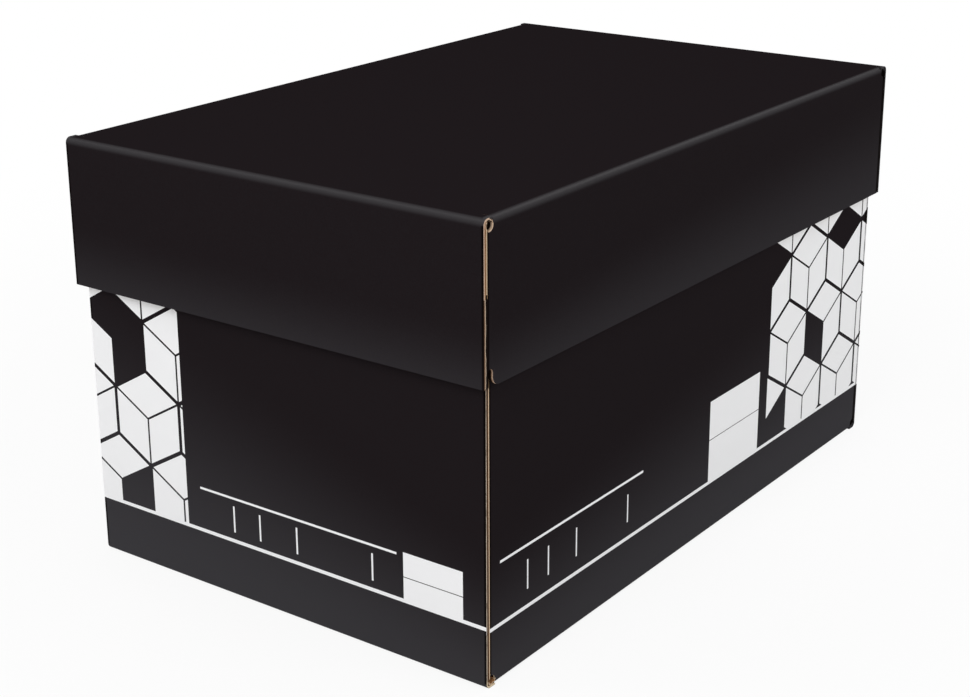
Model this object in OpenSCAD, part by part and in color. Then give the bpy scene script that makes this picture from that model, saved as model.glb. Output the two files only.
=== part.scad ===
// Carton of wrapped copy paper: a corrugated tray that holds stacks of reams, under a telescoping lid.
// Tray and lid are each folded from one blank. The end panels stand outside. The long panels turn the
// corner behind them as glue flaps, so the raw edge of each end panel shows in the long face.
// +X runs along the long face, +Z is up, and the origin is under the middle of the lid.

/* [Reams] */
// Length of a sheet, laid across the carton
sheet_l = 279.4; // [200:0.1:420]
// Width of a sheet, laid along the carton
sheet_w = 215.9; // [140:0.1:300]
// Height of one wrapped ream
ream_h = 62.75; // [40:0.25:75]
// Thickness of one layer of the wrapper
wrap_t = 0.15; // [0.1:0.05:0.4]
// Rounding of the wrapper along the ream's long edges
ream_edge_r = 1.5; // [0.5:0.25:4]
// Length of the wrapper's folded-in parts at the ream's ends
tuck_l = 40; // [15:1:60]

/* [Board] */
// Thickness of the corrugated board
board_t = 3; // [1.5:0.1:5]
// Outer radius of the folds along the floor, and along the lid's top
fold_r = 3.25; // [3:0.25:9]
// Outer radius of the upright folds where a long panel turns into its glue flap
turn_r = 3; // [1:0.25:4]
// Length of a glue flap, from the long face
flap_l = 52; // [25:1:80]
// Slope of the two sides of a glue flap, as the drop at its free end
flap_taper = 6; // [2:0.5:12]
// Slot between a glue flap and the folded edge of the next panel
flap_slot = 2; // [1:0.25:4]
// How far the glued boards press into each other at a seam
press_t = 0.15; // [0.05:0.05:0.4]
// Thickness of a liner, where the wave of the flutes shows between the two
liner_t = 0.4; // [0.2:0.05:0.7]
// Thickness of the fluted sheet between the liners
medium_t = 0.25; // [0.15:0.05:0.5]
// Length of one flute
flute_pitch = 6.5; // [4:0.25:10]
// Depth to which the flutes are open at the rims of the ends
flute_depth = 1.2; // [0.5:0.1:3]
// Width of each lip beside the groove in a raw edge that runs with the flutes
edge_lip = 0.8; // [0.5:0.05:1.2]
// Depth of that groove
groove_depth = 0.6; // [0.2:0.1:1.5]

/* [Corners] */
// Length of the end panel's folded edge that runs on into the long face
curl_l = 7.6; // [6:0.1:14]
// Width of the cut that parts the folded edge from the long panel
cut_w = 0.5; // [0.3:0.1:1.5]
// Radius of the relief hole where three folds meet
relief_r = 2.5; // [1:0.1:3]
// Depth of the relief hole's centre inside the folded edge
relief_in = 4.1; // [3.5:0.1:6]
// How far the relief hole bites into the raw edge beside it
relief_bite = 0.6; // [0:0.1:1.5]
// Length of the pointed tail of the relief hole
relief_tail = 3; // [1:0.25:6]
// Width of the slit between the raw edge and the trimmed corner of a long panel
slit_w = 4.6; // [1:0.1:6]
// Radius of the trimmed corner
trim_r = 5; // [2:0.25:8]
// Height of the slit's straight sides, under its round end
trim_h = 7.5; // [6:0.5:20]

/* [Fit] */
// Gap between the stacks of reams
stack_gap = 1; // [0.2:0.1:6]
// Gap between the reams and the board round them
ream_gap = 0.6; // [0.2:0.1:6]
// Space over the reams, up to the lid
headspace = 3; // [0.5:0.5:3.5]
// Gap between the tray and the lid, on each side
lid_gap = 0.5; // [0.4:0.1:5]
// Depth of the lid over all
lid_h = 88; // [40:1:150]
// Gap that is left on the two sides where the lid leans on the tray
lid_lean_gap = 0.2; // [0.1:0.05:0.4]

/* [Hidden] */
$fn = 48;
stack_count = 2;
layer_count = 4;
past = 1;
wave_steps = 6;

ream_w = sheet_w + 2 * wrap_t;
end_fold_t = 3 * wrap_t;
ream_l = sheet_l + 2 * wrap_t + 2 * end_fold_t;

tray_l = stack_count * ream_w + (stack_count - 1) * stack_gap + 2 * ream_gap + 4 * board_t;
tray_w = ream_l + 2 * ream_gap + 2 * board_t;
tray_h = board_t + layer_count * ream_h + headspace;
lid_l = tray_l + 2 * lid_gap + 4 * board_t;
lid_w = tray_w + 2 * lid_gap + 2 * board_t;
top_z = tray_h + board_t;
lean = lid_gap - lid_lean_gap;
tray_at = [-lean, lean, 0];

black_print = "#252326";
wrapper_white = "#e9eaec";

// A rectangle that stands on the X axis, with its two lower corners rounded
module round_foot(w, h, r) {
    translate([-w / 2 + r, 0]) square([w - 2 * r, h]);
    translate([-w / 2, r]) square([w, h - r]);
    for (side = [-1, 1]) translate([side * (w / 2 - r), r]) circle(r);
}

// A rectangle about the origin with four round corners
module round_rect(l, w, r) {
    square([l - 2 * r, w], center = true);
    square([l, w - 2 * r], center = true);
    for (sx = [-1, 1], sy = [-1, 1]) translate([sx * (l / 2 - r), sy * (w / 2 - r)]) circle(r);
}

// Turns a profile drawn in X and Z into a bar along Y
module along_y(length) {
    rotate([90, 0, 0]) linear_extrude(length, center = true) children();
}

// Turns a profile drawn in Y and Z into a bar along X
module along_x(length) {
    rotate([90, 0, 90]) linear_extrude(length, center = true) children();
}

// Floor and end panels as one solid block. Their raw edges lie in the long faces, and round the fold.
module end_run(l, w, h) {
    difference() {
        along_y(w) round_foot(l, h, fold_r);
        for (side = [-1, 1])
            translate([0, side * (w / 2 - fold_r / 2 + past / 2), h / 2])
                cube([l - 2 * curl_l, fold_r + past, h + past], center = true);
    }
}

// Floor and long panels as one solid block, rounded where they turn behind the end panels
module long_run(l, w, h) {
    inside_l = l - 2 * board_t + 2 * press_t;
    difference() {
        intersection() {
            along_x(inside_l) round_foot(w, h, fold_r);
            linear_extrude(h) round_rect(inside_l, w, turn_r);
        }
        for (side = [-1, 1])
            translate([side * l / 2, 0, 0]) cube([2 * fold_r, w + past, 2 * board_t], center = true);
    }
}

// The four glue flaps, each rooted in a long panel and pressed on an end panel
module glue_flaps(l, w, h) {
    root = w / 2 - board_t + press_t;
    tip = w / 2 - flap_l;
    low = board_t + flap_slot;
    for (mx = [0, 1], my = [0, 1])
        mirror([mx, 0, 0]) mirror([0, my, 0])
            translate([l / 2 - 1.5 * board_t + press_t / 2, 0, 0])
                along_x(board_t + press_t)
                    polygon([[root, low], [tip, low + flap_taper], [tip, h - flap_taper], [root, h]]);
}

// The wave of the flutes along a rim, as one ribbon whose crests are glued into the liners
module flute_wave(length) {
    reach = board_t / 2 - liner_t;
    turns = floor(length / flute_pitch);
    half_t = medium_t / 2;
    wave = [for (n = [0:turns * wave_steps]) [
        (n / wave_steps - turns / 2) * flute_pitch,
        -reach * cos(360 * n / wave_steps)
    ]];
    under = [for (q = wave) [q[0], q[1] - half_t]];
    over = [for (n = [len(wave) - 1:-1:0]) [wave[n][0], wave[n][1] + half_t]];
    polygon(concat(under, over));
}

// The raw rim of each end panel, where the board is cut across its flutes
module fluted_rims(l, w, h) {
    length = w - 2 * board_t;
    for (side = [-1, 1])
        translate([side * (l / 2 - board_t / 2), 0, h - flute_depth]) rotate(90)
            linear_extrude(flute_depth + past) difference() {
                square([length, board_t - 2 * liner_t], center = true);
                flute_wave(length);
            }
}

// Grooves between the liners where the board is cut along its flutes: the upright raw edges of the end
// panels, round the fold, and the rims of the long panels
module edge_grooves(l, w, h) {
    groove_w = board_t - 2 * edge_lip;
    rim_l = l - 2 * (board_t + slit_w + 2 * trim_r);
    curl_end = curl_l + cut_w / 2;
    for (side = [-1, 1]) {
        translate([0, side * w / 2, 0]) along_y(2 * groove_depth) difference() {
            translate([0, edge_lip]) round_foot(l - 2 * edge_lip, h, fold_r - edge_lip);
            translate([edge_lip + groove_w - l / 2, edge_lip + groove_w])
                square([l - 2 * (edge_lip + groove_w), h]);
            translate([curl_end - l / 2, 0]) square([l - 2 * curl_end, h]);
        }
        translate([0, side * (w / 2 - board_t / 2), h])
            cube([rim_l, groove_w, 2 * groove_depth], center = true);
    }
}

// The relief hole beside the folded edge and the cut that ends that edge, drawn from the carton's
// corner inwards in X and Z
module relief() {
    cx = board_t + relief_r - relief_bite;
    translate([board_t, board_t]) square([curl_l + cut_w - board_t, fold_r - board_t]);
    translate([curl_l, -past]) square([cut_w, fold_r + past]);
    translate([cx, relief_in]) circle(relief_r);
    polygon([
        [board_t, relief_in], [board_t, relief_in + relief_r + relief_tail],
        [cx + relief_r / 2, relief_in]
    ]);
}

// The trimmed rim corner of a long panel, drawn from the carton's corner inwards and from the rim down.
// Only the -X end has it.
module rim_trim() {
    translate([board_t + slit_w / 2, -trim_h]) circle(slit_w / 2);
    translate([board_t, -trim_h]) square([slit_w, trim_h + past]);
    difference() {
        translate([board_t + slit_w / 2, -trim_r]) square([slit_w / 2 + trim_r, trim_r + past]);
        translate([board_t + slit_w + trim_r, -trim_r]) circle(trim_r);
    }
}

// One shell folded from a flat blank, open at the top and standing on its floor
module folded_shell(l, w, h) {
    corner_depth = fold_r + board_t;
    difference() {
        union() {
            difference() {
                union() {
                    end_run(l, w, h);
                    long_run(l, w, h);
                }
                translate([board_t - l / 2, board_t - w / 2, board_t])
                    cube([l - 2 * board_t, w - 2 * board_t, h]);
            }
            glue_flaps(l, w, h);
        }
        for (mx = [0, 1], my = [0, 1])
            mirror([mx, 0, 0]) mirror([0, my, 0])
                translate([-l / 2, w / 2 - corner_depth / 2 + past, 0])
                    along_y(corner_depth + 2 * past) {
                        relief();
                        if (mx == 0) translate([0, h]) rim_trim();
                    }
        fluted_rims(l, w, h);
        edge_grooves(l, w, h);
    }
}

// The tray that holds the reams
module tray() {
    color(black_print) translate(tray_at) folded_shell(tray_l, tray_w, tray_h);
}

// The lid, folded as the tray is and turned over it. Its top rests on the tray's rim.
module lid() {
    color(black_print) translate([0, 0, top_z]) rotate([180, 0, 0]) folded_shell(lid_l, lid_w, lid_h);
}

// The parts of the wrapper that fold in at a ream's end, in X and Z: the two sides first,
// then the flap from the top, then the flap from below, each over the one before
module side_tucks() {
    for (side = [-1, 1])
        translate([side * (ream_w / 2 - ream_edge_r - tuck_l / 2), ream_h / 2])
            square([tuck_l, ream_h - 2 * ream_edge_r], center = true);
}

module end_flap() {
    base = ream_w / 2 - ream_edge_r;
    polygon([[-base, ream_edge_r], [base, ream_edge_r], [base - tuck_l, ream_edge_r + tuck_l],
        [tuck_l - base, ream_edge_r + tuck_l]]);
}

// One ream in its wrapper, standing on the floor with its length along Y
module wrapped_ream() {
    block_l = sheet_l + 2 * wrap_t;
    color(wrapper_white) {
        along_y(block_l) translate([0, ream_h / 2]) round_rect(ream_w, ream_h, ream_edge_r);
        along_y(block_l + 2 * wrap_t) side_tucks();
        along_y(block_l + 4 * wrap_t) translate([0, ream_h]) mirror([0, 1]) end_flap();
        along_y(block_l + 6 * wrap_t) end_flap();
    }
}

// Reams fill one stack from the floor up, and then the next
module ream(n) {
    stack = floor(n / layer_count);
    layer = n % layer_count;
    x = (stack - (stack_count - 1) / 2) * (ream_w + stack_gap);
    translate(tray_at + [x, 0, board_t + layer * ream_h]) wrapped_ream();
}

tray();
lid();
for (n = [1:stack_count * layer_count])
    ream(n - 1);
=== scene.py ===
"""Carton of copy paper: a printed corrugated tray, a telescoping lid, and the wrapped reams inside."""
import math

import bpy
from mathutils import Matrix, Vector


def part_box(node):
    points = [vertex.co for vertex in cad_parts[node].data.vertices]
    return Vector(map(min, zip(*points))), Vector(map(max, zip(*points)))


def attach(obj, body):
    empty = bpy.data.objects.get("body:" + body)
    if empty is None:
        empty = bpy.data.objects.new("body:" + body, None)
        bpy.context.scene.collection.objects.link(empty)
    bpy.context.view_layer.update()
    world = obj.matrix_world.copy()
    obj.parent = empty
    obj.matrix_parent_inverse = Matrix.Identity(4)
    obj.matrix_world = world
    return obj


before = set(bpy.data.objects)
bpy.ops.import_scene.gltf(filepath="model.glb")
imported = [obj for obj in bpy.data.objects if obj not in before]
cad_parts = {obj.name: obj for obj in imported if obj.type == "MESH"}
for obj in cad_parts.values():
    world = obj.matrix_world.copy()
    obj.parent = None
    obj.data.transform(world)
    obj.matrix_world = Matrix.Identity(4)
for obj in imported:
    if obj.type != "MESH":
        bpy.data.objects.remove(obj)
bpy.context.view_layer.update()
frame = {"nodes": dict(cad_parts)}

MM = 0.001

# The board and its corners, in millimetres, as the solids have them
BOARD = 3.0
FOLD_R = 3.25
TURN_R = 3.0
CURL_END = 7.85
FLAP_START = 4.9
GROOVE = 0.7
HOLE_ACROSS = 4.9
HOLE_IN = 4.1
HOLE_R = 2.5
TRIM_TOP = 10.5
TRIM_END = 13.0
FLUTE_PITCH = 6.5
# How far in an end panel's board and its raw edge are looked for, a hair over the board's thickness
END_BOARD = 3.05
END_EDGE = 3.1
# Added to a flap's depth where there is no flap: more than any depth in the board
NO_BOARD = 10.0

# Depths under the printed face, in millimetres: the ink, the fluting, where the outer liner's colour turns
# into the inner one's, where the stain and the liner's painted shade end, where the slit and the holes turn
# dark with painted shade, and the pressed edge's brown fringe and its width
INK = 0.16
FLUTES = (0.85, 2.28)
LINER_TURN = (1.0, 2.0)
STAIN_DEPTH = (0.5, 1.1)
SLIT_SHADE = (0.9, 1.5)
HOLE_SHADE_DEPTH = (0.7, 1.4)
PRESSED_FRINGE = (0.45, 1.15)
PRESSED_W = 2.2
# From the inner face, in millimetres: the kraft skin, and the nick's reach
KRAFT_SKIN = 0.15
NICK_W = 1.2

# Heights above the ground in the raw edges, in millimetres: the nick, the liner's painted shade below the
# lid's rim, the painted shade on the tray's edges just above the lid's rim, and the crushed foot of the tray
NICK_AT = 219.0
NICK_H = 2.2
SHADED = (110.0, 165.0)
RIM_SHADE_FROM = (168.6, 170.6)
RIM_SHADE_TO = (181.0, 190.0)
CRUSHED = 3.8
# Round a relief hole, in millimetres: the torn ring, the wall, and the painted shade at the far end
TORN_W = 0.8
HOLE_WALL = 0.1
HOLE_SHADE_R = 4.5

# Painted reflection of the floor, lightening the ink low down: full below one height, none above the other,
# which climbs towards the far end of an end panel and of a long one, and how light it gets
LID_LOW_SHEEN = {"full": 150.0, "none": 207.0, "end_climb": 0.02, "long_climb": 0.09, "most": 0.46}
TRAY_LOW_SHEEN = {"full": -43.0, "none": 85.0, "end_climb": 0.36, "long_climb": 0.17, "most": 1.0}
# The painted highlight on the lid's folds, and the painted fold shadow in the ink beside a raw edge, in
# millimetres
FOLD_HIGHLIGHT_REACH = (1.8, 4.6)
FOLD_HIGHLIGHT_SIDE = 1.3
CREASE_SHADOW_REACH = (0.7, 1.9)
# The ink's gloss: past a distance from the panel that the sides fold from, and more of it round the fold
GLOSS_START = 0.8
FLAT_GLOSS = 0.015
FOLD_GLOSS = 0.115
FOLD_BEND = (0.0, 0.9)

# Noise and bumps of the papers, and the levels between which a noise shows
BOARD_FIBRES = {"scale": 2.2, "detail": 3.0}
BLOTCHES = {"scale": 1.0, "detail": 3.0}
BLOTCH_STRETCH = (0.5, 0.5, 0.16)
CLOUDS = {"scale": 0.35, "detail": 4.0}
CUT_FIBRES = {"scale": 5.0, "detail": 3.0}
CUT_STRETCH = (1.0, 1.0, 0.3)
WRAP_FIBRES = {"scale": 1.6, "detail": 4.0}
SAGS = {"scale": 1.0, "detail": 3.0}
SAG_STRETCH = (0.02, 0.02, 0.06)
BOARD_BUMP = {"distance": 0.00004, "strength": 0.6}
CUT_BUMP = {"distance": 0.00005, "strength": 0.5}
WRAP_BUMP = {"distance": 0.0003, "strength": 0.7}
FIBRES_SHOW = (0.4, 0.75)
TORN_SHOW = (0.4, 0.7)
BLOTCHES_SHOW = (0.5, 0.62)
CLOUDS_SHOW = (0.3, 0.7)
FLECKS_SHOW = (0.3, 0.75)
CUT_SHOW = (0.35, 0.7)
WRAP_SHOW = (0.3, 0.7)
# How strongly fibres, clouds, flecks, blotches, the liner's painted shade and the painted fold shadow show,
# and the board bump's two heights
EDGE_FIBRES = 0.35
KRAFT_FIBRES = 0.3
KRAFT_CLOUDS = 0.35
INK_FLECKS = 0.08
BLOTCH_MOST = 0.6
SHADED_MOST = 0.4
CREASE_SHADOW_MOST = 0.9
FLUTE_BUMP = 0.5
FIBRE_BUMP = 0.6
# How far apart the sheets' edges show through the wrapper at a ream's sides, and the wrapper's three heights
SHEET_PRESS = 1.4
SAG_BUMP = 5.0
SHEET_BUMP = 0.05
WRAP_FIBRE_BUMP = 0.2
WRAP_FIBRE_COLOUR = 0.4

# The photograph's frame and the camera that took it
PHOTO_W = 970
SENSOR = 36.0
FOCAL_PX = 1822.8
SHIFT_PX = -60
AZIMUTH = -53.84
ELEVATION = 18.17
ROLL = -0.25
CAMERA_AT = (-0.9074, -0.6434, 0.5009)
CLIP_START = 0.05

# The studio: the sky's light, the floor and the softboxes, in metres and watts
SKY = 0.57
FLOOR_REACH = 6.0
FLOOR_GREY = (0.86, 0.86, 0.86, 1)
WHITE = (1, 1, 1, 1)
NEAR_WHITE = 0.88
WHITE_FROM = (350.0, 1000.0)
SOFTBOXES = {
    "back_softbox": {"at": (-0.91, 1.23, 1.95), "aim": (-0.1, 0, 0.2), "size": (1.2, 0.9), "power": 8},
    "right_softbox": {"at": (1.69, -0.48, 1.58), "aim": (0, -0.1, 0.2), "size": (1.2, 0.9), "power": 9},
    "left_softbox": {"at": (-1.8, -0.3, 1.6), "aim": (0, 0, 0.1), "size": (0.9, 0.9), "power": 17.5},
    "front_softbox": {"at": (0.3, -1.9, 1.6), "aim": (0, 0, 0.1), "size": (0.9, 0.9), "power": 11},
}


class Value:
    """A socket in a node tree. Sums written with it add the Math nodes that work them out."""

    def __init__(self, nodes, socket):
        self.nodes = nodes
        self.socket = socket

    def math(self, operation, *others):
        inputs = dict(enumerate((self, *others)))
        return self.nodes.add("ShaderNodeMath", {"operation": operation}, inputs)

    def __add__(self, other):
        return self.math("ADD", other)

    def __radd__(self, other):
        return self.math("ADD", other)

    def __sub__(self, other):
        return self.math("SUBTRACT", other)

    def __rsub__(self, other):
        return self.nodes.math("SUBTRACT", other, self)

    def __mul__(self, other):
        return self.math("MULTIPLY", other)

    def __rmul__(self, other):
        return self.math("MULTIPLY", other)

    def __truediv__(self, other):
        return self.math("DIVIDE", other)

    def __rtruediv__(self, other):
        return self.nodes.math("DIVIDE", other, self)

    def __neg__(self):
        return self.math("MULTIPLY", -1.0)

    def __abs__(self):
        return self.math("ABSOLUTE")

    def __gt__(self, other):
        return self.math("GREATER_THAN", other)

    def __lt__(self, other):
        return self.math("LESS_THAN", other)

    def min(self, other):
        return self.math("MINIMUM", other)

    def max(self, other):
        return self.math("MAXIMUM", other)

    def sign(self):
        return self.math("SIGN")

    def round(self):
        return self.math("ROUND")

    def root(self):
        return self.math("SQRT")

    def wave(self, pitch):
        """A sine that repeats after each pitch."""
        return (self * (2 * math.pi / pitch)).math("SINE")

    def ramp(self, low, high):
        """From 0 at low to 1 at high, eased."""
        settings = {"interpolation_type": "SMOOTHSTEP"}
        inputs = {"Value": self, "From Min": low, "From Max": high}
        return self.nodes.add("ShaderNodeMapRange", settings, inputs)

    def between(self, low, high):
        return (self > low) * (self < high)


class Nodes:
    """A node tree, with one method that adds any node, and one that gives an output of what it adds."""

    def __init__(self, tree):
        self.tree = tree

    def node(self, kind, settings=None, inputs=None):
        made = self.tree.nodes.new(kind)
        for key, setting in (settings or {}).items():
            setattr(made, key, setting)
        for key, given in (inputs or {}).items():
            if isinstance(given, Value):
                self.tree.links.new(given.socket, made.inputs[key])
            else:
                made.inputs[key].default_value = given
        return made

    def add(self, kind, settings=None, inputs=None, out=0):
        return Value(self, self.node(kind, settings, inputs).outputs[out])

    def math(self, operation, first, second):
        return self.add("ShaderNodeMath", {"operation": operation}, {0: first, 1: second})

    def vector(self, x, y, z):
        return self.add("ShaderNodeCombineXYZ", inputs={0: x, 1: y, 2: z})


class Shader(Nodes):
    """A material's node tree."""

    def __init__(self, name):
        self.material = bpy.data.materials.new(name)
        self.material.use_nodes = True
        super().__init__(self.material.node_tree)
        self.tree.nodes.clear()

    def place(self):
        """X, Y and Z of the piece's own coordinates, in millimetres."""
        where = self.add("ShaderNodeTexCoord", out="Object")
        return [self.add("ShaderNodeSeparateXYZ", inputs={0: where}, out=axis) / MM for axis in range(3)]

    def stretched(self, spot, stretch):
        """A point with each of its coordinates scaled by a factor of its own."""
        return self.vector(*(value * factor for value, factor in zip(spot, stretch)))

    def noise(self, at, scale, detail):
        return self.add("ShaderNodeTexNoise", inputs={"Vector": at, "Scale": scale, "Detail": detail})

    def mix(self, factor, first, second):
        """A colour that turns from the first to the second as the factor goes from 0 to 1."""
        colours = {0: factor, 6: first, 7: second}
        return self.add("ShaderNodeMix", {"data_type": "RGBA"}, colours, out=2)

    def bump(self, height, distance, strength):
        inputs = {"Strength": strength, "Distance": distance, "Height": height}
        return self.add("ShaderNodeBump", inputs=inputs)

    def finish(self, inputs):
        surface = self.add("ShaderNodeBsdfPrincipled", inputs=inputs)
        self.node("ShaderNodeOutputMaterial", inputs={"Surface": surface})
        return self.material


class Growth(Nodes):
    """A Geometry Nodes tree with named inputs."""

    def __init__(self, name):
        super().__init__(bpy.data.node_groups.new(name, "GeometryNodeTree"))
        self.sockets = {}
        self.ask("Paths", "NodeSocketGeometry")
        self.tree.interface.new_socket("Grown", in_out="OUTPUT", socket_type="NodeSocketGeometry")

    def ask(self, name, kind="NodeSocketFloat"):
        socket = self.tree.interface.new_socket(name, in_out="INPUT", socket_type=kind)
        self.sockets[name] = socket.identifier

    def given(self, name):
        return self.add("NodeGroupInput", out=name)

    def attribute(self, name):
        return self.add("GeometryNodeInputNamedAttribute", {"data_type": "FLOAT_VECTOR"}, {"Name": name})

    def scaled(self, vector, factor):
        return self.add("ShaderNodeVectorMath", {"operation": "SCALE"}, {0: vector, "Scale": factor})

    def total(self, first, second):
        return self.add("ShaderNodeVectorMath", {"operation": "ADD"}, {0: first, 1: second})

    def chance(self, low, high, seed):
        """A number of its own for each point, between low and high."""
        inputs = {2: low, 3: high, "Seed": seed}
        return self.add("FunctionNodeRandomValue", {"data_type": "FLOAT"}, inputs, out=1)

    def end(self, shape, material):
        whole = self.add("GeometryNodeRealizeInstances", inputs={"Geometry": shape})
        dressed = self.add("GeometryNodeSetMaterial", inputs={"Geometry": whole, "Material": material})
        self.node("NodeGroupOutput", inputs={"Grown": dressed})


def srgb(red, green, blue):
    """A colour given as screen values from 0 to 255, as the linear colour that the sockets take."""
    def linear(level):
        level = level / 255
        return level / 12.92 if level <= 0.04045 else ((level + 0.055) / 1.055) ** 2.4
    return (linear(red), linear(green), linear(blue), 1.0)


BLACK_INK = srgb(27, 22, 24)
# The ink lightened low down by the painted reflection of the floor, also the colour of its flecks
SHEEN_AND_FLECK_INK = srgb(62, 61, 64)
# The painted highlight along the lid's folds
FOLD_HIGHLIGHT_INK = srgb(52, 50, 52)
WHITE_INK = srgb(236, 236, 237)
# Painted fold shadow: the ink darkened beside a raw edge
CREASE_SHADOW_INK = srgb(7, 4, 3)
# Outer liner, fluting and inner liner in a raw edge
LID_LAYERS = (srgb(210, 182, 160), srgb(168, 132, 100), srgb(200, 180, 156))
TRAY_LAYERS = (srgb(196, 182, 164), srgb(78, 52, 30), srgb(218, 192, 166))
# Light and dark of the fluted sheet that is grown there
LID_FLUTING = (srgb(190, 150, 112), srgb(136, 102, 70))
TRAY_FLUTING = (srgb(124, 84, 48), srgb(72, 46, 26))
# Stains in the liners, also the colour of the painted shade below the lid's rim
STAIN_AND_SHADE = srgb(84, 74, 62)
DARK_FIBRE = srgb(104, 76, 50)
PALE_FIBRE = srgb(200, 172, 138)
CURL_CREAM = srgb(228, 208, 176)
PRESSED_BROWN = srgb(88, 62, 40)
PRESSED_PALE = srgb(204, 182, 160)
# Painted shade in the slit, the relief holes, the nick and above the lid's rim on the tray; also the dark +X
# edges and the pressed edges' inner part
DARK_EDGE = srgb(26, 20, 18)
HOLE_BROWN = srgb(172, 122, 80)
TORN_LINER = srgb(190, 166, 140)
KRAFT_INSIDE = srgb(178, 146, 110)
KRAFT_CLOUD = srgb(150, 118, 84)
WRAP_WHITE = srgb(233, 234, 237)
WRAP_GREY = srgb(222, 223, 226)


def hypot(a, b):
    return (a * a + b * b).root()


def fold_depth(side, rise, radius):
    """How deep a point lies under the outer face of two panels that meet in a round fold."""
    return radius - hypot((radius - side).max(0.0), (radius - rise).max(0.0))


class BoardPlace:
    """Where a point lies in a folded board, in millimetres. The parts of the board's material share it."""

    def __init__(self, shader, low, high, lid):
        self.lid = lid
        px, py, pz = shader.place()
        centre = (low + high) / MM / 2
        self.half_l = (high.x - low.x) / MM / 2
        self.half_w = (high.y - low.y) / MM / 2
        self.spot = (px, py, pz)
        self.at = shader.vector(px, py, pz)
        self.x = px - centre.x
        self.y = py - centre.y
        self.z = pz
        # From the panel that the sides are folded from, and from the rim
        self.rise = high.z / MM - pz if lid else pz
        self.from_rim = pz - low.z / MM if lid else high.z / MM - pz
        # From the outer face of the nearer end panel, and of the nearer long one
        self.side_l = self.half_l - abs(self.x)
        self.side_w = self.half_w - abs(self.y)
        self.on_end = self.side_l < self.side_w
        self.depth = self.under_face()
        self.from_hole = hypot(self.side_l - HOLE_ACROSS, self.rise - HOLE_IN)
        self.in_slit = (self.from_rim < TRIM_TOP) * self.side_l.between(END_EDGE, TRIM_END) * (self.x < 0.0)
        self.fibres = shader.noise(self.at, **BOARD_FIBRES)

    def under_face(self):
        """Depth in the board under its printed face."""
        end_depth = fold_depth(self.side_l, self.rise, FOLD_R)
        long_depth = fold_depth(self.side_w, self.rise, FOLD_R)
        turned_in = fold_depth(self.side_l - BOARD, self.side_w, TURN_R)
        flap_depth = turned_in + (self.rise < FLAP_START) * NO_BOARD
        in_end = (self.side_l < END_BOARD).max((self.side_l < CURL_END) * (self.rise < FOLD_R))
        return in_end * end_depth + (1.0 - in_end) * long_depth.min(flap_depth)

    def by_panel(self, end, long):
        """The first on the end panels, the second on the long ones."""
        return self.on_end * end + (1.0 - self.on_end) * long


def rectangle(s, z, left, right, low, high):
    return s.between(left, right) * z.between(low, high)


# The block pattern, in millimetres: the side of a lozenge, the widths of its lines and the pattern's start
BLOCK_SIDE = 30.0
BLOCK_OUTLINE = 2.4
BLOCK_SPOKE = 1.3
BLOCK_DARK_SHARE = 0.12
BLOCK_START_S = -9.0
BLOCK_START_Z = 6.0
HALF_ROOT_3 = math.sqrt(3) / 2


def block_pattern(shader, u, z):
    """Tumbling blocks, the old quilt pattern: outlined hexagons of three lozenges, a few of them dark."""
    wide = 2 * HALF_ROOT_3 * BLOCK_SIDE
    tall = 3 * BLOCK_SIDE
    near_u = u - wide * (u / wide).round()
    near_z = z - tall * (z / tall).round()
    far_u = u - wide * ((u / wide - 0.5).round() + 0.5)
    far_z = z - tall * ((z / tall - 0.5).round() + 0.5)
    is_near = near_u * near_u + near_z * near_z < far_u * far_u + far_z * far_z
    qu = is_near * near_u + (1.0 - is_near) * far_u
    qz = is_near * near_z + (1.0 - is_near) * far_z
    lean = 0.5 * qu
    climb = HALF_ROOT_3 * qz
    to_border = BLOCK_SIDE * HALF_ROOT_3 - abs(qu).max(abs(lean + climb)).max(abs(climb - lean))
    ink = to_border < BLOCK_OUTLINE / 2
    for angle in (-90, 30, 150):
        du = math.cos(math.radians(angle))
        dz = math.sin(math.radians(angle))
        across = abs(qu * dz - qz * du)
        ink = ink.max((across < BLOCK_SPOKE / 2) * (qu * du + qz * dz > 0.0))
    top = (climb - lean > 0.0) * (climb + lean > 0.0) * (qz > 0.0)
    right = (1.0 - top) * (qu > 0.0)
    column = ((u - qu) / (wide / 2)).round()
    row = ((z - qz) / (tall / 2)).round()
    lozenge = shader.vector(column, row, top * 2.0 + right)
    chance = shader.add("ShaderNodeTexWhiteNoise", {"noise_dimensions": "3D"}, {"Vector": lozenge})
    return 1.0 - ink.max(chance < BLOCK_DARK_SHARE)


# The printed marks on the two kinds of face, in millimetres: s runs to the right from the face's middle as it
# is looked at, z up from the ground. A thin rule is left, right, low and high, the badge left, right and high
RULE_W = 2.2
COLUMN_W = 1.2
DIVIDER_W = 0.5
END_MARKS = {
    "rule": 34.7,
    "thin": (-61.0, 84.5, 61.9, 63.3),
    "columns": (-34.8, -14.8, 13.0, 67.5),
    "column_z": (41.3, 57.7),
    "badge": (89.0, 128.8, 64.6),
    "divider": 50.0,
    "band": 72.0,
}
LONG_MARKS = {
    "rule": 32.4,
    "thin": (-211.0, -68.3, 69.0, 70.5),
    "columns": (-185.7, -166.0, -138.4, -84.8),
    "column_z": (43.7, 61.2),
    "badge": (9.8, 73.5, 87.6),
    "divider": 62.0,
    "band": 139.0,
}


def face_marks(s, z, marks):
    """Rules, column lines and the blank badge on one face."""
    left, right, low, high = marks["thin"]
    white = z.between(marks["rule"], marks["rule"] + RULE_W).max(rectangle(s, z, left, right, low, high))
    low, high = marks["column_z"]
    for middle in marks["columns"]:
        white = white.max(rectangle(s, z, middle - COLUMN_W / 2, middle + COLUMN_W / 2, low, high))
    left, right, high = marks["badge"]
    badge = rectangle(s, z, left, right, marks["rule"], high)
    return white.max(badge * (abs(z - marks["divider"]) > DIVIDER_W / 2))


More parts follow.
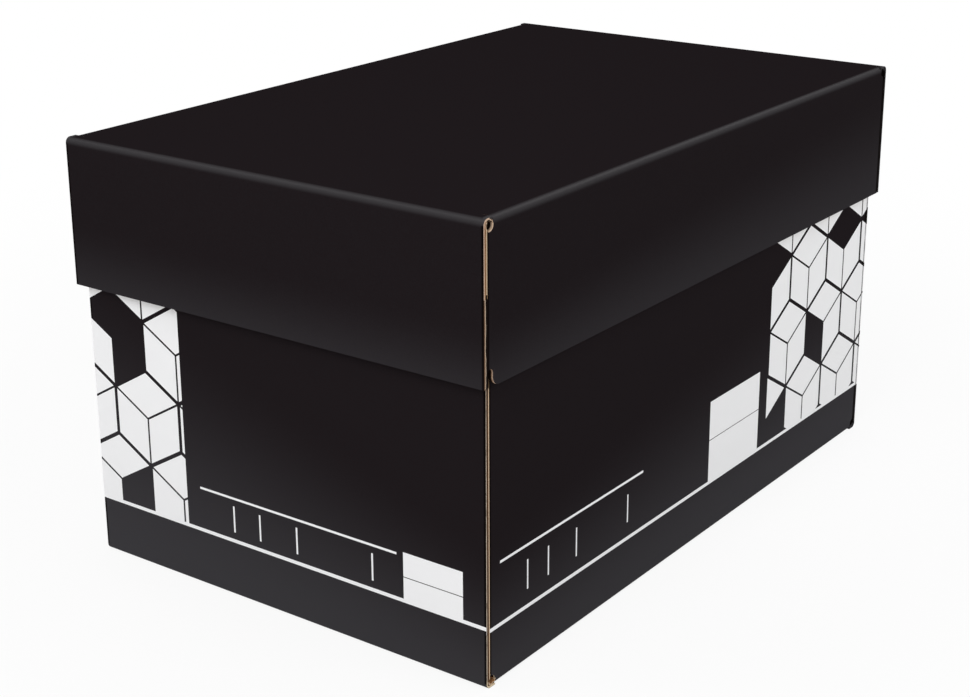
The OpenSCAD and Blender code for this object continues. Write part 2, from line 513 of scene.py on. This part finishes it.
def tray_print(shader, here):
    """1 where the tray is printed white."""
    s_end = here.y * here.x.sign()
    s_long = -here.x * here.y.sign()
    end_u = s_end + here.half_w
    long_u = s_long - here.half_l
    in_band = here.by_panel(end_u < END_MARKS["band"], long_u > -LONG_MARKS["band"])
    blocks = block_pattern(shader, here.by_panel(end_u, long_u) - BLOCK_START_S, here.z - BLOCK_START_Z)
    marks = here.by_panel(face_marks(s_end, here.z, END_MARKS), face_marks(s_long, here.z, LONG_MARKS))
    rule = here.by_panel(END_MARKS["rule"], LONG_MARKS["rule"])
    return marks.max(in_band * (here.z > rule + RULE_W) * blocks)


def torn_ring(here):
    """1 in the torn ring round a relief hole of the near end. The tray's is there low down only."""
    torn = (here.from_hole < HOLE_R + TORN_W) * (here.side_w < FOLD_R) * (here.x < 0.0)
    return torn if here.lid else torn * (here.rise < CRUSHED)


def pressed_length(here):
    """1 in the lid's upright raw edges below the nick, where they are pressed pale."""
    return (here.side_l < END_EDGE) * (here.side_w < GROOVE) * (here.z < NICK_AT)


def ink_cover(here, torn):
    """1 where the board takes the print's colour: its outer face, and raw edges at +X and, on the lid, past
    the holes.
    """
    edge_like_print = (here.x > 0.0) * (here.side_w < GROOVE) * (here.side_l < CURL_END)
    if here.lid:
        past_hole = (here.from_hole > HOLE_R + TORN_W) * here.side_l.between(HOLE_ACROSS, CURL_END)
        edge_like_print = edge_like_print.max(past_hole * (here.side_w < GROOVE) * (here.rise < FOLD_R))
    return (here.depth < INK).max(edge_like_print) * (1.0 - torn)


def edge_layers(shader, here):
    """The liners and the fluting in a raw edge, stained from outside, with painted shade on the tray's liner
    below the lid, and fibres.
    """
    outer_liner, flute_paper, inner_liner = LID_LAYERS if here.lid else TRAY_LAYERS
    liner = shader.mix(here.depth.ramp(*LINER_TURN), outer_liner, inner_liner)
    blotches = shader.noise(shader.stretched(here.spot, BLOTCH_STRETCH), **BLOTCHES)
    stain_and_shade = blotches.ramp(*BLOTCHES_SHOW) * BLOTCH_MOST
    if not here.lid:
        # Painted shade: the tray's liner gets darker towards the lid's rim above it
        stain_and_shade = stain_and_shade.max(here.z.ramp(*SHADED) * SHADED_MOST)
    stain_and_shade = stain_and_shade * (1.0 - here.depth.ramp(*STAIN_DEPTH))
    liner = shader.mix(stain_and_shade, liner, STAIN_AND_SHADE)
    if not here.lid:
        liner = shader.mix(1.0 - here.rise.ramp(FOLD_R, 2.0 * FOLD_R), liner, CURL_CREAM)
    edge = shader.mix(here.depth.between(*FLUTES), liner, flute_paper)
    return shader.mix(here.fibres.ramp(*FIBRES_SHOW) * EDGE_FIBRES, edge, DARK_FIBRE)


def lid_edge_wear_and_shade(shader, here, edge):
    """The nick in the lid's upright edges, painted dark as its shade, and the length below it that is pressed
    pale.
    """
    nicked = here.z.between(NICK_AT, NICK_AT + NICK_H) * (here.depth > BOARD - NICK_W)
    # Painted shade: the nick is coloured dark
    edge = shader.mix(nicked * (here.rise > CURL_END), edge, DARK_EDGE)
    fringed = shader.mix(here.depth.ramp(*PRESSED_FRINGE), PRESSED_BROWN, PRESSED_PALE)
    return shader.mix(pressed_length(here), edge, fringed)


def tray_edge_shade(shader, here, edge):
    """Painted shade on the tray's upright edges just above the lid's rim, where the lid covers them."""
    # Painted shade: dark from the lid's rim up, under the lid
    under_rim_shade = here.z.ramp(*RIM_SHADE_FROM) * (1.0 - here.z.ramp(*RIM_SHADE_TO))
    return shader.mix(under_rim_shade, edge, DARK_EDGE)


def edge_colour(shader, here, torn):
    """A raw edge with its wear and painted shade: the torn ring, shade painted in the slit and holes, and the
    dark edges at +X.
    """
    edge = edge_layers(shader, here)
    edge = lid_edge_wear_and_shade(shader, here, edge) if here.lid else tray_edge_shade(shader, here, edge)
    outer_liner = LID_LAYERS[0] if here.lid else TRAY_LAYERS[0]
    edge = shader.mix(torn, edge, shader.mix(here.fibres.ramp(*TORN_SHOW), TORN_LINER, outer_liner))
    # Painted shade deep in the slit
    edge = shader.mix(here.in_slit * here.depth.ramp(*SLIT_SHADE), edge, DARK_EDGE)
    # Painted shade in the relief holes; the tray's are brown at the crushed foot
    hole_shade = DARK_EDGE if here.lid else shader.mix(here.rise < CRUSHED, DARK_EDGE, HOLE_BROWN)
    in_hole = (here.from_hole < HOLE_R + HOLE_WALL) * here.depth.ramp(*HOLE_SHADE_DEPTH)
    edge = shader.mix(in_hole, edge, hole_shade)
    return shader.mix((here.x > 0.0) * (here.from_rim > BOARD) * (here.side_w < BOARD), edge, DARK_EDGE)


def kraft_colour(shader, here):
    """The kraft inside, clouded, with pale fibres."""
    clouds = shader.noise(here.at, **CLOUDS)
    kraft = shader.mix(clouds.ramp(*CLOUDS_SHOW) * KRAFT_CLOUDS, KRAFT_INSIDE, KRAFT_CLOUD)
    return shader.mix(here.fibres.ramp(*FIBRES_SHOW) * KRAFT_FIBRES, kraft, PALE_FIBRE)


def bare_colour(shader, here, torn):
    """The board where it isn't printed: raw edges, and kraft inside."""
    inside = (here.depth > BOARD - KRAFT_SKIN) * (1.0 - here.in_slit)
    bare = shader.mix(inside, edge_colour(shader, here, torn), kraft_colour(shader, here))
    # Painted shade round the relief holes at the far end
    by_far_hole = (here.x > 0.0) * (here.from_hole < HOLE_SHADE_R) * (here.side_w < 2.0 * FOLD_R)
    bare = shader.mix(by_far_hole, bare, DARK_EDGE)
    if here.lid:
        bare = shader.mix(pressed_length(here) * (here.depth > PRESSED_W), bare, DARK_EDGE)
    return bare


def ink_colour(shader, here):
    """The print: black, with painted reflection low down, painted highlight on the lid's folds, painted shade
    by a raw edge.
    """
    sheen = LID_LOW_SHEEN if here.lid else TRAY_LOW_SHEEN
    along = here.by_panel(here.y + here.half_w, here.x + here.half_l)
    climb = here.by_panel(sheen["end_climb"], sheen["long_climb"])
    # Painted reflection of the floor: the ink is lighter low down
    low_sheen = (1.0 - here.z.ramp(sheen["full"], along * climb + sheen["none"])) * sheen["most"]
    ink = shader.mix(low_sheen, BLACK_INK, SHEEN_AND_FLECK_INK)
    if here.lid:
        # Painted highlight: a lighter band along the lid's folds
        from_fold = here.side_l.min(here.side_w) * FOLD_HIGHLIGHT_SIDE + here.rise
        ink = shader.mix(1.0 - from_fold.ramp(*FOLD_HIGHLIGHT_REACH), ink, FOLD_HIGHLIGHT_INK)
    ink = shader.mix(here.fibres.ramp(*FLECKS_SHOW) * INK_FLECKS, ink, SHEEN_AND_FLECK_INK)
    # Painted fold shadow: a dark line in the ink beside a raw edge, below the fold
    from_edge = here.by_panel(here.side_w, abs(here.side_l - BOARD))
    crease_shadow = (1.0 - from_edge.ramp(*CREASE_SHADOW_REACH)) * (here.rise > FOLD_R) * CREASE_SHADOW_MOST
    ink = shader.mix(crease_shadow, ink, CREASE_SHADOW_INK)
    return ink if here.lid else shader.mix(tray_print(shader, here), ink, WHITE_INK)


def printed_board(name, low, high, lid):
    """Corrugated board with a black printed face, a kraft inside, and liners and flutes in its raw edges."""
    shader = Shader(name)
    here = BoardPlace(shader, low, high, lid)
    torn = torn_ring(here)
    printed = ink_cover(here, torn)
    colour = shader.mix(printed, bare_colour(shader, here, torn), ink_colour(shader, here))

    # Flutes lie along X in the floor and the long panels, and upright in the end panels
    across_long = here.rise * (here.side_w < FOLD_R) + here.y * (here.side_w > FOLD_R)
    across = here.by_panel(here.y, across_long)
    height = across.wave(FLUTE_PITCH) * FLUTE_BUMP + here.fibres * FIBRE_BUMP
    bend = 1.0 - abs(here.side_l.min(here.side_w) - here.rise) / FOLD_R
    gloss = (here.rise > GLOSS_START) * FLAT_GLOSS + bend.ramp(*FOLD_BEND) * FOLD_GLOSS
    return shader.finish({
        "Base Color": colour, "Roughness": 0.8, "Normal": shader.bump(height, **BOARD_BUMP),
        "Specular IOR Level": 0.0, "Coat Weight": printed * gloss, "Coat Roughness": 0.32, "Coat IOR": 1.5,
    })


# The fluted sheet where a raw edge cuts it lengthwise: it wanders between the liners, frayed along its cut.
# Sizes in metres
CUT_FLUTES = {
    "Step": 1.5 * MM, "Wander": 0.5 * MM, "Wander length": 11 * MM, "Sheet thickness": 0.24 * MM,
    "Sheet reach": 0.55 * MM, "Fibre spacing": 1.3 * MM, "Fibre length": 0.9 * MM,
    "Fibre thickness": 0.12 * MM, "Fibre spread": 0.45 * MM, "Fibre lift": 0.2 * MM,
}
SEED = 7
# How far the noise moves for each seed, the levels that are its least and most, how far a fibre leans
# sideways and the share of its length that the shortest has
SEED_MOVES = 3.1
DRIFT_LEVELS = (0.32, 0.68)
FIBRE_LEAN = 0.7
SHORTEST_FIBRE = 0.5
# How deep the sheets' middle is sunk in the raw edge, and where they start and end, in millimetres
SUNK = 0.345
UPRIGHT_START = 3.7
UPRIGHT_END = 0.8
RIM_START = 17.8


def cut_flute_tree():
    """Sheets that follow the paths given to it, and short fibres along them."""
    growth = Growth("cut_flute_sheets")
    for name in CUT_FLUTES:
        growth.ask(name)
    growth.ask("Seed", "NodeSocketInt")
    growth.ask("Paper", "NodeSocketMaterial")
    across = growth.attribute("across")
    outward = growth.attribute("outward")
    seed = growth.given("Seed")

    paths = growth.add("GeometryNodeMeshToCurve", inputs={"Mesh": growth.given("Paths")})
    step = growth.given("Step")
    paths = growth.add("GeometryNodeResampleCurve", {"mode": "LENGTH"}, {"Curve": paths, "Length": step})
    where = growth.add("GeometryNodeInputPosition")
    drift = growth.add("ShaderNodeTexNoise", {"noise_dimensions": "4D"}, {
        "Vector": where, "W": seed * SEED_MOVES, "Scale": 1.0 / growth.given("Wander length"), "Detail": 2.0,
    })
    least, most = DRIFT_LEVELS
    drift = growth.add("ShaderNodeMapRange", inputs={
        "Value": drift, "From Min": least, "From Max": most, "To Min": -1.0, "To Max": 1.0,
    })
    aside = growth.scaled(across, drift * growth.given("Wander"))
    paths = growth.add("GeometryNodeSetPosition", inputs={"Geometry": paths, "Offset": aside})
    paths = growth.add("GeometryNodeSetCurveNormal", {"mode": "FREE"}, {"Curve": paths, "Normal": outward})
    section = growth.add("GeometryNodeCurvePrimitiveQuadrilateral", {"mode": "RECTANGLE"}, {
        "Width": growth.given("Sheet reach"), "Height": growth.given("Sheet thickness"),
    })
    sheets = growth.add("GeometryNodeCurveToMesh", inputs={
        "Curve": paths, "Profile Curve": section, "Fill Caps": True,
    })

    spots = growth.node("GeometryNodeCurveToPoints", {"mode": "LENGTH"}, {
        "Curve": paths, "Length": growth.given("Fibre spacing"),
    })
    scatter = growth.scaled(across, growth.chance(-1.0, 1.0, seed + 1) * growth.given("Fibre spread"))
    lift = growth.scaled(outward, growth.given("Fibre lift"))
    points = growth.add("GeometryNodeSetPosition", inputs={
        "Geometry": Value(growth, spots.outputs["Points"]), "Offset": growth.total(scatter, lift),
    })
    lean = growth.scaled(across, growth.chance(-FIBRE_LEAN, FIBRE_LEAN, seed + 2))
    heading = growth.total(Value(growth, spots.outputs["Tangent"]), lean)
    turned = growth.add("FunctionNodeAlignRotationToVector", {"axis": "Z"}, {"Vector": heading})
    fibre = growth.add("GeometryNodeMeshCone", {"fill_type": "TRIANGLE_FAN"}, {
        "Vertices": 3, "Side Segments": 1, "Fill Segments": 1, "Radius Top": 0.0,
        "Radius Bottom": growth.given("Fibre thickness") * 0.5, "Depth": growth.given("Fibre length"),
    })
    fibres = growth.add("GeometryNodeInstanceOnPoints", inputs={
        "Points": points, "Instance": fibre, "Rotation": turned,
        "Scale": growth.chance(SHORTEST_FIBRE, 1.0, seed + 3),
    })
    both = growth.node("GeometryNodeJoinGeometry")
    growth.tree.links.new(sheets.socket, both.inputs[0])
    growth.tree.links.new(fibres.socket, both.inputs[0])
    growth.end(Value(growth, both.outputs[0]), growth.given("Paper"))
    return growth


def raw_edge_paths(name, low, high, rim_up):
    """A mesh of lines up the four upright raw edges and along the two long rims, with the way across the
    board and the way out of it at each point."""
    half_l = (high.x - low.x) / 2
    half_w = (high.y - low.y) / 2
    middle = (low + high) / 2
    rim, fold, up = (high.z, low.z, 1) if rim_up else (low.z, high.z, -1)
    reach = half_l - RIM_START * MM
    spots = []
    for side_y in (-1, 1):
        for side_x in (-1, 1):
            x = middle.x + side_x * (half_l - BOARD / 2 * MM)
            y = middle.y + side_y * (half_w - SUNK * MM)
            ends = (fold + up * UPRIGHT_START * MM, rim - up * UPRIGHT_END * MM)
            spots += [((x, y, z), (1, 0, 0), (0, side_y, 0)) for z in sorted(ends)]
        y = middle.y + side_y * (half_w - BOARD / 2 * MM)
        z = rim - up * SUNK * MM
        spots += [((middle.x + end, y, z), (0, 1, 0), (0, 0, up)) for end in (-reach, reach)]
    mesh = bpy.data.meshes.new(name)
    mesh.from_pydata([spot[0] for spot in spots], [(n, n + 1) for n in range(0, len(spots), 2)], [])
    for column, attribute in ((1, "across"), (2, "outward")):
        ways = mesh.attributes.new(attribute, "FLOAT_VECTOR", "POINT")
        for n, spot in enumerate(spots):
            ways.data[n].vector = spot[column]
    return mesh


def grow_cut_flutes(growth, body, low, high, rim_up, paper):
    """The fluted sheets of one body as one plain mesh that rides on it."""
    name = body + "_cut_flute_sheets"
    piece = bpy.data.objects.new(name, raw_edge_paths(name, low, high, rim_up))
    bpy.context.scene.collection.objects.link(piece)
    modifier = piece.modifiers.new("grow", "NODES")
    modifier.node_group = growth.tree
    for size, given in CUT_FLUTES.items():
        modifier[growth.sockets[size]] = given
    modifier[growth.sockets["Seed"]] = SEED
    modifier[growth.sockets["Paper"]] = paper
    seen = bpy.context.evaluated_depsgraph_get()
    grown = bpy.data.meshes.new_from_object(piece.evaluated_get(seen), depsgraph=seen)
    grown.materials.clear()
    grown.materials.append(paper)
    piece.modifiers.clear()
    piece.data = grown
    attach(piece, body)


def cut_flute_paper(name, high, colours, pressed_below):
    """Brown fluting paper, pressed pale below a height, and dark at the +X upright edges."""
    shader = Shader(name)
    spot = shader.place()
    px, _, pz = spot
    light, dark = colours
    fibres = shader.noise(shader.stretched(spot, CUT_STRETCH), **CUT_FIBRES)
    colour = shader.mix(fibres.ramp(*CUT_SHOW), light, dark)
    colour = shader.mix(pz < pressed_below, colour, PRESSED_PALE)
    colour = shader.mix(px > high.x / MM - BOARD, colour, DARK_EDGE)
    return shader.finish({
        "Base Color": colour, "Roughness": 0.85, "Normal": shader.bump(fibres, **CUT_BUMP),
        "Specular IOR Level": 0.2,
    })


def ream_wrapper():
    """White wrapping paper with a faint satin gloss, soft sags and the sheets' edges pressed through."""
    shader = Shader("ream_wrapper_paper")
    spot = shader.place()
    fibres = shader.noise(shader.vector(*spot), **WRAP_FIBRES)
    sags = shader.noise(shader.stretched(spot, SAG_STRETCH), **SAGS)
    sheets = spot[2].wave(SHEET_PRESS)
    colour = shader.mix(fibres.ramp(*WRAP_SHOW) * WRAP_FIBRE_COLOUR, WRAP_WHITE, WRAP_GREY)
    height = sags * SAG_BUMP + sheets * SHEET_BUMP + fibres * WRAP_FIBRE_BUMP
    return shader.finish({
        "Base Color": colour, "Roughness": 0.45 + fibres * 0.1, "Normal": shader.bump(height, **WRAP_BUMP),
        "Specular IOR Level": 0.4,
    })


def wear_one(node, material):
    """Leave one material on a CAD mesh."""
    node.data.materials.clear()
    node.data.materials.append(material)


def dress_carton():
    """Materials for the tray, the lid and the reams, and the sheets that are grown in the raw edges."""
    nodes = frame["nodes"]
    tray_low, tray_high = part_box("tray")
    lid_low, lid_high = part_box("lid")
    wear_one(nodes["tray"], printed_board("tray_printed_board", tray_low, tray_high, lid=False))
    wear_one(nodes["lid"], printed_board("lid_printed_board", lid_low, lid_high, lid=True))
    wrapper = ream_wrapper()
    for name, node in nodes.items():
        if name.startswith("ream_"):
            wear_one(node, wrapper)
    growth = cut_flute_tree()
    tray_paper = cut_flute_paper("tray_fluting_paper", tray_high, TRAY_FLUTING, pressed_below=0.0)
    lid_paper = cut_flute_paper("lid_fluting_paper", lid_high, LID_FLUTING, pressed_below=NICK_AT)
    grow_cut_flutes(growth, "tray", tray_low, tray_high, True, tray_paper)
    grow_cut_flutes(growth, "lid", lid_low, lid_high, False, lid_paper)


def camera():
    """The photograph's camera, turned and tilted about its own place."""
    az = math.radians(AZIMUTH)
    el = math.radians(ELEVATION)
    roll = math.radians(ROLL)
    ahead = Vector((-math.sin(az) * math.cos(el), math.cos(az) * math.cos(el), -math.sin(el)))
    right = ahead.cross(Vector((0, 0, 1))).normalized()
    up = right.cross(ahead)
    rolled_right = math.cos(roll) * right + math.sin(roll) * up
    rolled_up = math.cos(roll) * up - math.sin(roll) * right
    turn = Matrix((rolled_right, rolled_up, -ahead)).transposed()
    data = bpy.data.cameras.new("photo_camera")
    data.sensor_width = SENSOR
    data.lens = FOCAL_PX / PHOTO_W * SENSOR
    data.shift_y = SHIFT_PX / PHOTO_W
    data.clip_start = CLIP_START
    seen_from = bpy.data.objects.new("photo_camera", data)
    seen_from.matrix_world = Matrix.Translation(CAMERA_AT) @ turn.to_4x4()
    bpy.context.scene.collection.objects.link(seen_from)
    bpy.context.scene.camera = seen_from


def softbox(name, at, aim, size, power):
    """A rectangular lamp at one place, aimed at another."""
    data = bpy.data.lights.new(name, "AREA")
    data.shape = "RECTANGLE"
    data.size, data.size_y = size
    data.energy = power
    lamp = bpy.data.objects.new(name, data)
    lamp.location = at
    lamp.rotation_euler = (Vector(aim) - Vector(at)).to_track_quat("-Z", "Y").to_euler()
    bpy.context.scene.collection.objects.link(lamp)


def seen_rays(nodes):
    """1 for a ray that comes from the camera, a gloss or a glass."""
    rays = ("Is Camera Ray", "Is Glossy Ray", "Is Transmission Ray")
    camera_ray, glossy_ray, glass_ray = [nodes.add("ShaderNodeLightPath", out=ray) for ray in rays]
    return camera_ray.max(glossy_ray).max(glass_ray)


def studio_world():
    """A world that is seen white and gives less light than that."""
    world = bpy.data.worlds.new("studio")
    bpy.context.scene.world = world
    world.use_nodes = True
    nodes = Nodes(world.node_tree)
    nodes.tree.nodes.clear()
    light = nodes.add("ShaderNodeBackground", inputs={"Color": WHITE, "Strength": SKY})
    white = nodes.add("ShaderNodeBackground", inputs={"Color": WHITE, "Strength": 1.0})
    sky = nodes.add("ShaderNodeMixShader", inputs={0: seen_rays(nodes), 1: light, 2: white})
    nodes.node("ShaderNodeOutputWorld", inputs={"Surface": sky})


def studio_floor():
    """A pale floor that keeps the carton's shadow and is seen whiter away from it."""
    shader = Shader("studio_floor")
    px, py = shader.place()[:2]
    matt = shader.add("ShaderNodeBsdfDiffuse", inputs={"Color": FLOOR_GREY})
    glow = shader.add("ShaderNodeEmission", inputs={"Color": WHITE, "Strength": 1.0})
    whiteness = NEAR_WHITE + (1.0 - NEAR_WHITE) * hypot(px, py).ramp(*WHITE_FROM)
    shown = shader.add("ShaderNodeMixShader", inputs={0: seen_rays(shader) * whiteness, 1: matt, 2: glow})
    shader.node("ShaderNodeOutputMaterial", inputs={"Surface": shown})
    sheet = bpy.data.meshes.new("studio_floor")
    reach = FLOOR_REACH
    corners = [(-reach, -reach, 0), (reach, -reach, 0), (reach, reach, 0), (-reach, reach, 0)]
    sheet.from_pydata(corners, [], [(0, 1, 2, 3)])
    floor = bpy.data.objects.new("studio_floor", sheet)
    floor.data.materials.append(shader.material)
    bpy.context.scene.collection.objects.link(floor)


dress_carton()
camera()
studio_world()
studio_floor()
for lamp_name, lamp_sizes in SOFTBOXES.items():
    softbox(lamp_name, **lamp_sizes)
bpy.context.scene.view_settings.view_transform = "Standard"
